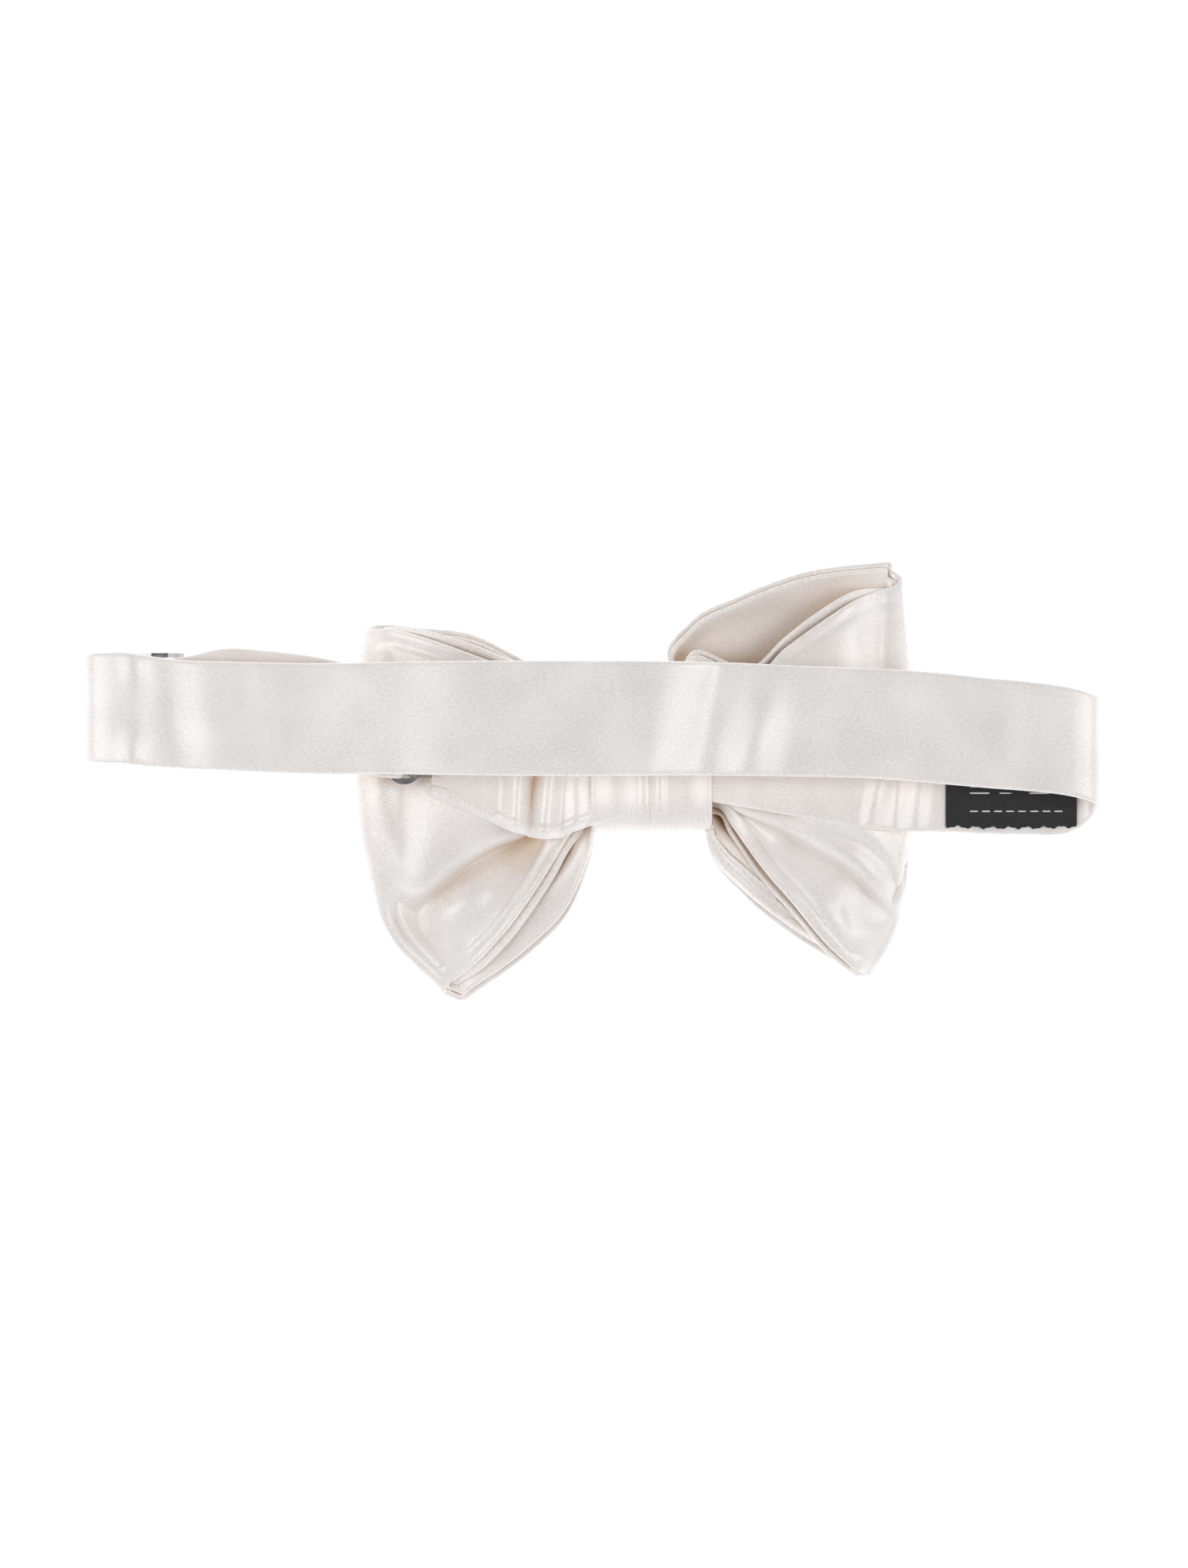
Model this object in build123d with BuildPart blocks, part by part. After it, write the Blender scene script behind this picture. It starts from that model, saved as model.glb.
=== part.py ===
from build123d import *
import os

# A pre-tied adjustable bow tie, lying face down, its neck strap hooked shut as a flattened loop.
# X runs along the strap, Y up the bow, Z up from the surface that the bow's face lies on.
# Origin: middle of the whole tie's footprint, at that surface. Millimetres.

os.makedirs("parts", exist_ok=True)

# ---- neck strap: one silk tube with an interlining, folded back at both ends of the loop ----
half_length = 109.0  # centre to the outside of an end fold
strap_width = 22.2
strap_thickness = 1.5
fold_radius = 5.0  # centre line of the end folds
low_ply = 19.6  # height of the strap's centre line against the bow
high_ply = low_ply + 2 * fold_radius  # and across the top of the loop
fold_height = low_ply + fold_radius
fold_x = half_length - strap_thickness / 2 - fold_radius
fold_split = 1.8  # degrees left open where a fold is split between two rigid pieces

# ---- layered cloth ----
cavity_thickness = 0.7  # hollow of a silk tube, which holds its interlining
lining_thickness = 0.6
cavity_margin = 1.2  # hem between a tube's edge and its hollow
lining_margin = 1.3

# ---- bow ----
bow_height_low = 0.75  # centre line of the outer loop's face, against the surface
bow_height_high = 17.6  # centre line of its back, under the straps
waist_low = 2.3  # the same two inside the knot
waist_high = 15.6
loop_gap = 2.0  # from the outer loop's centre line to the inner loop's
wing_left = -42.4  # centres of the wings' rounded ends
wing_right = 60.9
waist_bottom = -9.2  # the knot gathers the bow to this height
waist_top = 20.8

# ---- knot ----
knot_left = -0.6
knot_right = 25.8
knot_bottom = -10.9
knot_top = 22.5
knot_depth = 21.9
knot_thickness = 1.2
knot_corner = 2.4

# ---- hook, its eye, and the adjuster slide ----
hook_bar_x = -43.2
hook_bar_radius = 1.0
hook_turn_radius = 1.8  # centre line of the strap's turn round the bar
hook_bar_height = low_ply + hook_turn_radius
return_ply = low_ply + 2 * hook_turn_radius
hook_y = 12.3
hook_width = 25.6
hook_end = -37.0
hook_plate = 1.0
hook_frame = 1.6
hook_corner = 3.4
hook_window_corner = 1.2
hook_bar_plate = 1.7  # the frame's width along the bar, hidden inside it
hook_arm = 1.3
hook_lip_y = 8.0
hook_lip_width = 8.0
hook_lip_bottom = 18.8
eye_left = -40.3
eye_length = 8.1
eye_width = 14.0
eye_y = 8.0
eye_wire = 1.2
eye_thickness = 0.7
eye_clearance = 0.1
slide_x = -93.0
slide_y = 15.8
slide_length = 10.0
slide_inner_width = 21.8
slide_cheek = 1.0
slide_bottom = 17.5
slide_bar_width = 1.4
slide_bar_thickness = 1.0
slide_bar_height = 22.75
slide_bar_radius = 0.8
hem_radius = 2.2
gathered_width = 20.8  # the strap where it runs through the slide

reach = 60.0  # further than any piece reaches across the tie
thread = 0.4


# ---- shapes that repeat ----
def strap_plan(centre_line, width):
    """Outline of a strap seen from above, its edges half a width either side of a centre line."""
    with BuildSketch() as plan:
        with BuildLine():
            upper = Spline([(x, y + width / 2) for x, y in centre_line])
            lower = Spline([(x, y - width / 2) for x, y in centre_line])
            Line(upper @ 0, lower @ 0)
            Line(upper @ 1, lower @ 1)
        make_face()
    return plan.sketch


def strap_sheet(course, thickness, centre_line, width):
    """A sheet that follows a side course, cut to a strap's outline."""
    with BuildPart() as sheet:
        with BuildSketch(Plane.XZ):
            trace(course, line_width=thickness)
        extrude(amount=reach, both=True)
        with BuildSketch():
            add(strap_plan(centre_line, width))
        extrude(amount=reach, mode=Mode.INTERSECT)
    return sheet


def strap_lining(course, centre_line, width):
    return strap_sheet(course, lining_thickness, centre_line, width - 2 * lining_margin)


def strap_silk(course, centre_line, width):
    """The silk tube of a strap, hollow where its interlining lies."""
    hollow = strap_sheet(course, cavity_thickness, centre_line, width - 2 * cavity_margin)
    with BuildPart() as tube:
        add(strap_sheet(course, strap_thickness, centre_line, width).part)
        add(hollow.part, mode=Mode.SUBTRACT)
    return tube


def bow_course(inset):
    """Side view of a bow loop: two layers, rounded ends, and a waist inside the knot."""
    high = bow_height_high - inset
    low = bow_height_low + inset
    middle = (high + low) / 2
    pinched_high = waist_high - inset
    pinched_low = waist_low + inset
    left_end = knot_left - 2
    right_end = knot_right + 2
    slope = 15.0
    with BuildLine() as loop:
        CenterArc((wing_left, middle), (high - low) / 2, 90, 180)
        Polyline(
            (wing_left, low), (left_end - slope, low), (left_end, pinched_low),
            (right_end, pinched_low), (right_end + slope, low), (wing_right, low),
        )
        CenterArc((wing_right, middle), (high - low) / 2, -90, 180)
        Polyline(
            (wing_right, high), (right_end + slope, high), (right_end, pinched_high),
            (left_end, pinched_high), (left_end - slope, high), (wing_left, high),
        )
    return loop.line


def bow_plan(margin):
    """Butterfly outline of the bow from above: two wings and the waist that the knot gathers.

    With a margin it's the interlining's outline, which is cut in straight runs inside the silk's.
    """
    edge = Polyline if margin else Spline
    with BuildSketch() as plan:
        with BuildLine():
            left_top = edge(
                (knot_left - 0.6, waist_top), (-14.4, 25.6), (-27, 31.5), (-38, 32.8), (-48, 32.4)
            )
            left_side = edge(left_top @ 1, (-52, 12), (-50.3, -12), (-43, -32.3), (-31, -46.7))
            left_bottom = edge(
                left_side @ 1, (-21, -41.7), (-8.9, -32.3), (-2.2, -22), (knot_left - 0.6, waist_bottom)
            )
            waist_under = Line(left_bottom @ 1, (knot_right + 0.6, waist_bottom))
            right_bottom = edge(waist_under @ 1, (30, -21), (39.5, -29.4), (50, -37), (60, -41.5))
            right_side = edge(right_bottom @ 1, (67, -26.4), (70.5, 4.6), (68.5, 33), (63, 46.7))
            right_top = edge(right_side @ 1, (53, 46.4), (40, 42.8), (29.5, 36), (knot_right + 0.6, waist_top))
            Line(right_top @ 1, left_top @ 0)
        make_face()
        if margin:
            offset(amount=-margin, kind=Kind.INTERSECTION, mode=Mode.REPLACE)
    return plan.sketch


def bow_sheet(inset, thickness, margin):
    """A closed loop of sheet, cut to the bow's outline."""
    with BuildPart() as sheet:
        with BuildSketch(Plane.XZ):
            course = make_face(bow_course(inset), mode=Mode.PRIVATE)
            offset(course, amount=thickness / 2, kind=Kind.INTERSECTION)
            offset(course, amount=-thickness / 2, kind=Kind.INTERSECTION, mode=Mode.SUBTRACT)
        extrude(amount=reach, both=True)
        with BuildSketch():
            add(bow_plan(margin))
        extrude(amount=reach, mode=Mode.INTERSECT)
    return sheet


def stitches(x, y, z, x_step, y_step, count_x, count_y, length_x, length_y):
    """A grid of short threads that lie on a surface at height z."""
    with BuildPart() as row:
        with BuildSketch(Plane.XY.offset(z)):
            with Locations((x, y)):
                with GridLocations(x_step, y_step, count_x, count_y):
                    Rectangle(length_x, length_y)
        extrude(amount=thread)
    return row


# ---- side courses of the strap, from the knot round the loop and back to the hook ----
with BuildLine() as right_course:
    Line((13.4, low_ply), (fold_x, low_ply))
    CenterArc((fold_x, fold_height), fold_radius, -90, 90 - fold_split)

with BuildLine() as middle_course:
    CenterArc((fold_x, fold_height), fold_radius, fold_split, 90 - fold_split)
    Line((fold_x, high_ply), (-fold_x, high_ply))
    CenterArc((-fold_x, fold_height), fold_radius, 90, 90 - fold_split)

with BuildLine() as left_course:
    CenterArc((-fold_x, fold_height), fold_radius, 180 + fold_split, 90 - fold_split)
    Line((-fold_x, low_ply), (hook_bar_x, low_ply))
    CenterArc((hook_bar_x, hook_bar_height), hook_turn_radius, -90, 180)

with BuildLine() as return_course:
    Line((hook_bar_x - 0.3, return_ply), (slide_x + hem_radius + 0.3, return_ply))

with BuildLine() as eye_strap_course:
    Line((-34.6, low_ply), (12.0, low_ply))

with BuildLine() as eye_lining_course:
    Line((-30.6, low_ply), (10.8, low_ply))

right_line = [(11, 9.2), (26, 7.7), (50, 3.4), (77, 1.1), (95, 1.0), (110, 4.4)]
middle_line = [(-110, 16.1), (-76, 14), (-30, 13.5), (20, 13.5), (60, 12.6), (94, 9.4), (110, 6.0)]
left_line = [(-110, 16.1), (-90, 16.0), (-70, 15.6), (-56, 14.4), (-46, 12.9), (-38, 12.3)]

# ---- bow: two nested loops of interlined silk ----
with BuildPart() as bow_outer_loop:
    add(bow_sheet(0, strap_thickness, 0).part)
    add(bow_sheet(0, cavity_thickness, cavity_margin).part, mode=Mode.SUBTRACT)
bow_outer_loop.part.label = "bow_outer_loop"
export_step(bow_outer_loop.part, "parts/bow_outer_loop.step")

bow_outer_interlining = bow_sheet(0, lining_thickness, lining_margin)
bow_outer_interlining.part.label = "bow_outer_interlining"
export_step(bow_outer_interlining.part, "parts/bow_outer_interlining.step")

# the inner loop's pleats are bunched solid inside the knot
with BuildPart() as bow_inner_loop:
    add(bow_sheet(loop_gap, strap_thickness, 0).part)
    with BuildSketch(Plane.XY.offset(waist_low + loop_gap)):
        with Locations(((knot_left + knot_right) / 2, (waist_bottom + waist_top) / 2)):
            Rectangle(knot_right - knot_left - 4, waist_top - waist_bottom - 2)
    extrude(amount=waist_high - waist_low - 2 * loop_gap)
    add(bow_sheet(loop_gap, cavity_thickness, cavity_margin).part, mode=Mode.SUBTRACT)
bow_inner_loop.part.label = "bow_inner_loop"
export_step(bow_inner_loop.part, "parts/bow_inner_loop.step")

bow_inner_interlining = bow_sheet(loop_gap, lining_thickness, lining_margin)
bow_inner_interlining.part.label = "bow_inner_interlining"
export_step(bow_inner_interlining.part, "parts/bow_inner_interlining.step")


# ---- knot: a short band of silk wrapped round the bow's waist and the straps' ends ----
def knot_tube(outer_inset, inner_inset, end_inset):
    """The wrap between two insets from its outside, seen along the strap as a rounded rectangle."""
    height = knot_top - knot_bottom
    with BuildPart() as tube:
        with BuildSketch(Plane.YZ.offset(knot_left + end_inset)):
            with Locations(((knot_top + knot_bottom) / 2, knot_depth / 2)):
                RectangleRounded(
                    height - 2 * outer_inset, knot_depth - 2 * outer_inset, knot_corner - outer_inset
                )
                RectangleRounded(
                    height - 2 * inner_inset, knot_depth - 2 * inner_inset, knot_corner - inner_inset,
                    mode=Mode.SUBTRACT,
                )
        extrude(amount=knot_right - knot_left - 2 * end_inset)
    return tube


with BuildPart() as knot_wrap:
    add(knot_tube(0, knot_thickness, 0).part)
    add(knot_tube(0.3, 0.9, cavity_margin).part, mode=Mode.SUBTRACT)
knot_wrap.part.label = "knot_wrap"
export_step(knot_wrap.part, "parts/knot_wrap.step")

knot_interlining = knot_tube(0.35, 0.85, lining_margin)
knot_interlining.part.label = "knot_interlining"
export_step(knot_interlining.part, "parts/knot_interlining.step")

knot_seam_stitches = stitches(14.5, 5.8, knot_depth, 1, 3.6, 1, 7, 0.6, 2.2)
knot_seam_stitches.part.label = "knot_seam_stitches"
export_step(knot_seam_stitches.part, "parts/knot_seam_stitches.step")

# ---- neck strap, split at its two end folds ----
neck_strap_right = strap_silk(right_course.line, right_line, strap_width)
neck_strap_right.part.label = "neck_strap_right"
export_step(neck_strap_right.part, "parts/neck_strap_right.step")

strap_interlining_right = strap_lining(right_course.line, right_line, strap_width)
strap_interlining_right.part.label = "strap_interlining_right"
export_step(strap_interlining_right.part, "parts/strap_interlining_right.step")

neck_strap_middle = strap_silk(middle_course.line, middle_line, strap_width)
neck_strap_middle.part.label = "neck_strap_middle"
export_step(neck_strap_middle.part, "parts/neck_strap_middle.step")

strap_interlining_middle = strap_lining(middle_course.line, middle_line, strap_width)
strap_interlining_middle.part.label = "strap_interlining_middle"
export_step(strap_interlining_middle.part, "parts/strap_interlining_middle.step")

neck_strap_left = strap_silk(left_course.line, left_line, gathered_width)
neck_strap_left.part.label = "neck_strap_left"
export_step(neck_strap_left.part, "parts/neck_strap_left.step")

strap_interlining_left = strap_lining(left_course.line, left_line, gathered_width)
strap_interlining_left.part.label = "strap_interlining_left"
export_step(strap_interlining_left.part, "parts/strap_interlining_left.step")

neck_strap_return = strap_silk(return_course.line, left_line, gathered_width)
neck_strap_return.part.label = "neck_strap_return"
export_step(neck_strap_return.part, "parts/neck_strap_return.step")

strap_interlining_return = strap_lining(return_course.line, left_line, gathered_width)
strap_interlining_return.part.label = "strap_interlining_return"
export_step(strap_interlining_return.part, "parts/strap_interlining_return.step")

# ---- eye strap: short, tapered, its end sewn round the eye ----
eye_strap_outline = [
    (-34.6, 17.0), (-34.6, -2.7), (-16.7, -9.9), (-8.2, -11.6), (-1.6, -8.7), (12.0, -8.2), (12.0, 16.0)
]


def eye_strap_sheet(course, thickness, margin):
    with BuildPart() as sheet:
        with BuildSketch(Plane.XZ):
            trace(course, line_width=thickness)
        extrude(amount=reach, both=True)
        with BuildSketch():
            with BuildLine():
                Polyline(eye_strap_outline, close=True)
            make_face()
            if margin:
                offset(amount=-margin, kind=Kind.INTERSECTION, mode=Mode.REPLACE)
        extrude(amount=reach, mode=Mode.INTERSECT)
    return sheet


def eye_ring(clearance):
    """The flat metal eye, or the room it needs inside the strap's hem."""
    thickness = eye_thickness + 2 * clearance
    with BuildPart() as ring:
        with BuildSketch(Plane.XY.offset(low_ply - thickness / 2)):
            with Locations((eye_left + eye_length / 2, eye_y)):
                RectangleRounded(eye_length + 2 * clearance, eye_width + 2 * clearance, 1.5)
                Rectangle(
                    eye_length - 2 * eye_wire - 2 * clearance,
                    eye_width - 2 * eye_wire - 2 * clearance,
                    mode=Mode.SUBTRACT,
                )
        extrude(amount=thickness)
    return ring


with BuildPart() as eye_strap:
    add(eye_strap_sheet(eye_strap_course.line, strap_thickness, 0).part)
    add(eye_strap_sheet(eye_lining_course.line, cavity_thickness, cavity_margin).part, mode=Mode.SUBTRACT)
    add(eye_ring(eye_clearance).part, mode=Mode.SUBTRACT)
eye_strap.part.label = "eye_strap"
export_step(eye_strap.part, "parts/eye_strap.step")

with BuildPart() as eye_strap_interlining:
    add(eye_strap_sheet(eye_lining_course.line, lining_thickness, lining_margin).part)
    split(bisect_by=Plane.YZ.offset(-30.4), keep=Keep.TOP)
eye_strap_interlining.part.label = "eye_strap_interlining"
export_step(eye_strap_interlining.part, "parts/eye_strap_interlining.step")

strap_eye = eye_ring(0)
strap_eye.part.label = "strap_eye"
export_step(strap_eye.part, "parts/strap_eye.step")

eye_strap_stitches = stitches(-31.4, 8.0, low_ply + strap_thickness / 2, 1, 3.0, 1, 6, 1.8, thread)
eye_strap_stitches.part.label = "eye_strap_stitches"
export_step(eye_strap_stitches.part, "parts/eye_strap_stitches.step")

# ---- hook: a flat frame on the strap's turn, with a lip that drops into the eye ----
with BuildPart() as hook:
    with BuildSketch(Plane.XY.offset(hook_bar_height - hook_plate / 2)) as frame_plan:
        hook_start = hook_bar_x - hook_bar_plate / 2
        with Locations(((hook_start + hook_end) / 2, hook_y)):
            Rectangle(hook_end - hook_start, hook_width)
        fillet(frame_plan.vertices(), radius=hook_corner)
        with BuildSketch(mode=Mode.SUBTRACT) as window:
            window_start = hook_start + hook_bar_plate
            window_end = hook_end - hook_frame
            with Locations(((window_start + window_end) / 2, hook_y)):
                Rectangle(window_end - window_start, hook_width - 2 * hook_arm)
            fillet(window.vertices(), radius=hook_window_corner)
    extrude(amount=hook_plate)
    with BuildSketch(Plane.XZ.offset(-(hook_y - hook_width / 2 + hook_corner))):
        with Locations((hook_bar_x, hook_bar_height)):
            Circle(hook_bar_radius)
    extrude(amount=-(hook_width - 2 * hook_corner))
    with BuildSketch(Plane.XY.offset(hook_lip_bottom)):
        with Locations((hook_end - hook_frame + hook_plate / 2, hook_lip_y)):
            Rectangle(hook_plate, hook_lip_width)
    extrude(amount=hook_bar_height - hook_lip_bottom)
hook.part.label = "hook"
export_step(hook.part, "parts/hook.step")

# ---- adjuster slide: two cheeks, two bars under the strap, and the bar that the strap's end is sewn to ----
with BuildPart() as adjuster_slide:
    slide_top = slide_bar_height + slide_bar_radius + 0.4
    outer_width = slide_inner_width + 2 * slide_cheek
    for side in (-1, 1):
        cheek_y = slide_y + side * (slide_inner_width + slide_cheek) / 2
        with BuildSketch(Plane.XZ.offset(-cheek_y)):
            with BuildLine():
                Polyline(
                    (slide_x - slide_length / 2, slide_bottom), (slide_x + slide_length / 2, slide_bottom),
                    (slide_x + slide_length / 2, low_ply), (slide_x + 1.8, slide_top),
                    (slide_x - 1.8, slide_top), (slide_x - slide_length / 2, low_ply), close=True,
                )
            make_face()
        extrude(amount=slide_cheek / 2, both=True)
    with BuildSketch(Plane.XY.offset(slide_bottom)):
        with Locations((slide_x, slide_y)):
            with GridLocations(slide_length - slide_bar_width, 1, 2, 1):
                Rectangle(slide_bar_width, outer_width)
    extrude(amount=slide_bar_thickness)
    with BuildSketch(Plane.XZ.offset(-(slide_y - outer_width / 2))):
        with Locations((slide_x, slide_bar_height)):
            Circle(slide_bar_radius)
    extrude(amount=-outer_width)
adjuster_slide.part.label = "adjuster_slide"
export_step(adjuster_slide.part, "parts/adjuster_slide.step")

# the strap's end, rolled round the slide's bar and sewn down
with BuildPart() as strap_end_hem:
    with BuildSketch(Plane.XZ.offset(-(slide_y - gathered_width / 2))):
        with Locations((slide_x, slide_bar_height)):
            Circle(hem_radius)
            Circle(slide_bar_radius + 0.05, mode=Mode.SUBTRACT)
    extrude(amount=-gathered_width)
strap_end_hem.part.label = "strap_end_hem"
export_step(strap_end_hem.part, "parts/strap_end_hem.step")

# ---- care label on the inside of the strap ----
label_left = 75.9
label_right = 102.9
label_bottom = -9.2
label_top = 8.6
label_thickness = 0.3
label_height = low_ply + strap_thickness / 2

with BuildPart() as care_label:
    with BuildSketch(Plane.XY.offset(label_height)):
        with Locations(((label_left + label_right) / 2, (label_bottom + label_top) / 2)):
            Rectangle(label_right - label_left, label_top - label_bottom)
    extrude(amount=label_thickness)
care_label.part.label = "care_label"
export_step(care_label.part, "parts/care_label.step")

label_stitches = stitches(
    (label_left + label_right) / 2, (label_bottom + label_top) / 2, label_height + label_thickness,
    label_right - label_left - 1.6, 2.2, 2, 7, thread, 1.4,
)
label_stitches.part.label = "label_stitches"
export_step(label_stitches.part, "parts/label_stitches.step")
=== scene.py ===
import math

import bpy
import numpy as np
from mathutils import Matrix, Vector


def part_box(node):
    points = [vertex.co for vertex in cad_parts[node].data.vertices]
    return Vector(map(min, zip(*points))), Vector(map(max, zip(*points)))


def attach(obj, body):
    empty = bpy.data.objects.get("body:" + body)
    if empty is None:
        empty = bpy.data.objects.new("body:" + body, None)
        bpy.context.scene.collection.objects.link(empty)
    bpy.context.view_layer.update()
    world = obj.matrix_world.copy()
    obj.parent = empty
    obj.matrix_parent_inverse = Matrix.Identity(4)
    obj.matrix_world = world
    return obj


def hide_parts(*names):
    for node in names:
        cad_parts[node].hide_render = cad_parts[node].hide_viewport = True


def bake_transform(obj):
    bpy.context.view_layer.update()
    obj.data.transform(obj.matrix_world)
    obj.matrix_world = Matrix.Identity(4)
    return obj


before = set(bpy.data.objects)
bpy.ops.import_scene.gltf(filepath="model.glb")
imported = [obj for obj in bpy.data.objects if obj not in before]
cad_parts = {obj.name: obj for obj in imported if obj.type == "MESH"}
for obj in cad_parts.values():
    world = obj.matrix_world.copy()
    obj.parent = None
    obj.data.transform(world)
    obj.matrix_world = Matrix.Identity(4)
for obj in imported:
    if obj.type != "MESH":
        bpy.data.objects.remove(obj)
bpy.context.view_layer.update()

# A pre-tied satin bow tie, lying face down, its neck strap hooked shut over its back.
# Shapes are worked out in millimetres in the frame's axes and turned to metres when a mesh is made.
MM = 0.001


def node_box(node):
    """Lowest and highest corner of a CAD node, in millimetres."""
    low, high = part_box(node)
    return np.array(low) / MM, np.array(high) / MM


# ---- driving places, from the frame ----
knot_low, knot_high = node_box("knot_wrap")
strap_low, strap_high = node_box("neck_strap_middle")
return_low, return_high = node_box("neck_strap_return")
slide_low, slide_high = node_box("adjuster_slide")
hook_low = node_box("hook")[0]
label_low, label_high = node_box("care_label")
eye_strap_low = node_box("eye_strap")[0]

# thickness of each sheet, with its interlining where it has one
PLY = 1.5  # straps and outer loops
INNER_PLY = 1.3
KNOT_PLY = 1.2  # also the rolled hem
LABEL_PLY = 0.35

knot_middle_x = (knot_low[0] + knot_high[0]) / 2
low_ply = eye_strap_low[2] + PLY / 2
high_ply = strap_high[2] - PLY / 2
fold_radius = (high_ply - low_ply) / 2
fold_z = low_ply + fold_radius
fold_x = strap_high[0] - PLY / 2 - fold_radius


# ---- meshes ----
def resample(net, count, crowding=0.0):
    """Smooth curves through the rows of net, sampled count times by their mean length, closer at both ends."""
    net = np.asarray(net, float)
    steps = np.linalg.norm(np.diff(net, axis=0), axis=-1)
    steps = steps.reshape(len(steps), -1).mean(axis=1) + 1e-9
    knots = np.concatenate([[0], np.cumsum(steps)])
    slopes = np.diff(net, axis=0) / steps.reshape((-1,) + (1,) * (net.ndim - 1))
    tangents = np.empty_like(net)
    tangents[0], tangents[-1] = slopes[0], slopes[-1]
    shape = (-1,) + (1,) * (net.ndim - 1)
    before, after = steps[:-1].reshape(shape), steps[1:].reshape(shape)
    tangents[1:-1] = (slopes[:-1] * after + slopes[1:] * before) / (before + after)
    even = np.linspace(0, 1, count)
    at = knots[-1] * (even - crowding * np.sin(2 * math.pi * even) / (2 * math.pi))
    i = np.clip(np.searchsorted(knots, at, side="right") - 1, 0, len(steps) - 1)
    h = steps[i].reshape(shape)
    t = ((at - knots[i]) / steps[i]).reshape(shape)
    start, end = net[i], net[i + 1]
    pull, push = tangents[i] * h, tangents[i + 1] * h
    return (
        (2 * t**3 - 3 * t**2 + 1) * start + (t**3 - 2 * t**2 + t) * pull
        + (3 * t**2 - 2 * t**3) * end + (t**3 - t**2) * push
    )


def surface(net, rows, cols, crowding=0.0):
    """A smooth surface through a net of points: rows along the cloth, cols across it."""
    lengthwise = resample(net, rows)
    return np.swapaxes(resample(np.swapaxes(lengthwise, 0, 1), cols, crowding), 0, 1)


def unit(v):
    return v / np.maximum(np.linalg.norm(v, axis=-1, keepdims=True), 1e-9)


def normals(middle, ring=False):
    if ring:
        along = np.roll(middle, -1, 0) - np.roll(middle, 1, 0)
    else:
        along = np.gradient(middle, axis=0)
    return unit(np.cross(along, np.gradient(middle, axis=1)))


def mean_length(points, axis):
    """Distance along a surface's rows (axis 0) or across them (axis 1), as a mean over the other way."""
    steps = np.linalg.norm(np.diff(points, axis=axis), axis=-1).mean(axis=1 - axis)
    return np.concatenate([[0], np.cumsum(steps)])


def distance_from_rim(points):
    """Distance of every point from its row's first one, over the surface."""
    steps = np.linalg.norm(np.diff(points, axis=1), axis=-1)
    return np.concatenate([np.zeros((len(points), 1)), np.cumsum(steps, axis=1)], axis=1)


def distance_from_knot(points):
    return np.abs(points[..., 0] - knot_middle_x)


def mesh_object(name, points, faces, uvs, material):
    mesh = bpy.data.meshes.new(name)
    mesh.from_pydata((points * MM).tolist(), [], faces)
    layer = mesh.uv_layers.new(name="weave")
    loops = np.empty(len(mesh.loops), dtype=np.int64)
    mesh.loops.foreach_get("vertex_index", loops)
    layer.data.foreach_set("uv", np.asarray(uvs, float)[loops].ravel())
    mesh.polygons.foreach_set("use_smooth", [True] * len(mesh.polygons))
    mesh.materials.append(material)
    mesh.update()
    piece = bpy.data.objects.new(name, mesh)
    bpy.context.scene.collection.objects.link(piece)
    return piece


def cloth(name, middle, thickness, material, ring=False, weave_start=0.0):
    """A closed sheet round its centre surface, its two long edges rounded like a turned hem."""
    rows, cols = middle.shape[:2]
    normal = normals(middle, ring)
    side = unit(np.gradient(middle, axis=1))
    half = thickness / 2
    turn = np.radians(np.linspace(90, -90, 7)[1:-1])[None, :, None]
    right = middle[:, -1:] + half * (np.cos(turn) * side[:, -1:] + np.sin(turn) * normal[:, -1:])
    left = middle[:, :1] + half * (-np.cos(turn) * side[:, :1] - np.sin(turn) * normal[:, :1])
    top, bottom = middle + normal * half, middle - normal * half
    loop = np.concatenate([top, right, bottom[:, ::-1], left], axis=1)
    around = loop.shape[1]

    across_mm = mean_length(middle, 1)
    along_mm = mean_length(middle, 0) + weave_start
    arcs = len(turn[0])
    round_edge = np.linspace(0, half, arcs)
    v = np.concatenate([across_mm, across_mm[-1] + round_edge, across_mm[::-1], -round_edge])
    per_metre = 100  # the weave's UV unit is a centimetre
    uvs = np.stack(np.meshgrid(along_mm, v, indexing="ij"), axis=-1).reshape(-1, 2) * MM * per_metre

    i = np.arange(rows if ring else rows - 1)[:, None]
    j = np.arange(around)[None, :]
    nxt = (i + 1) % rows
    quads = np.stack(
        [i * around + j, nxt * around + j, nxt * around + (j + 1) % around, i * around + (j + 1) % around], axis=-1
    ).reshape(-1, 4)
    faces = quads.tolist()
    if not ring:
        for row, flip in ((0, 1), (rows - 1, -1)):
            base = row * around
            lower = [base + cols + arcs + cols - 1 - k for k in range(cols)]
            for k in range(cols - 1):
                faces.append([base + k, base + k + 1, lower[k + 1], lower[k]][::flip])
            faces.append([base + k for k in range(cols - 1, cols + arcs + 1)][::flip])
            faces.append(([base + k for k in range(2 * cols + arcs - 1, 2 * (cols + arcs))] + [base])[::flip])
    piece = mesh_object(name, loop.reshape(-1, 3), faces, uvs, material)
    if not ring:
        sharpen_ends(piece.data, rows, around)
    return piece


def sharpen_ends(mesh, rows, around):
    """Keeps the flat ends of a strip out of its smooth shading."""
    last = (rows - 1) * around
    vertices = np.empty(len(mesh.edges) * 2, dtype=np.int64)
    mesh.edges.foreach_get("vertices", vertices)
    pairs = vertices.reshape(-1, 2)
    at_end = (pairs < around).all(axis=1) | (pairs >= last).all(axis=1)
    mesh.edges.foreach_set("use_edge_sharp", at_end.tolist())


def wave(x, centre, width):
    """A soft bump of height 1."""
    return np.exp(-(((x - centre) / width) ** 2))


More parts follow.
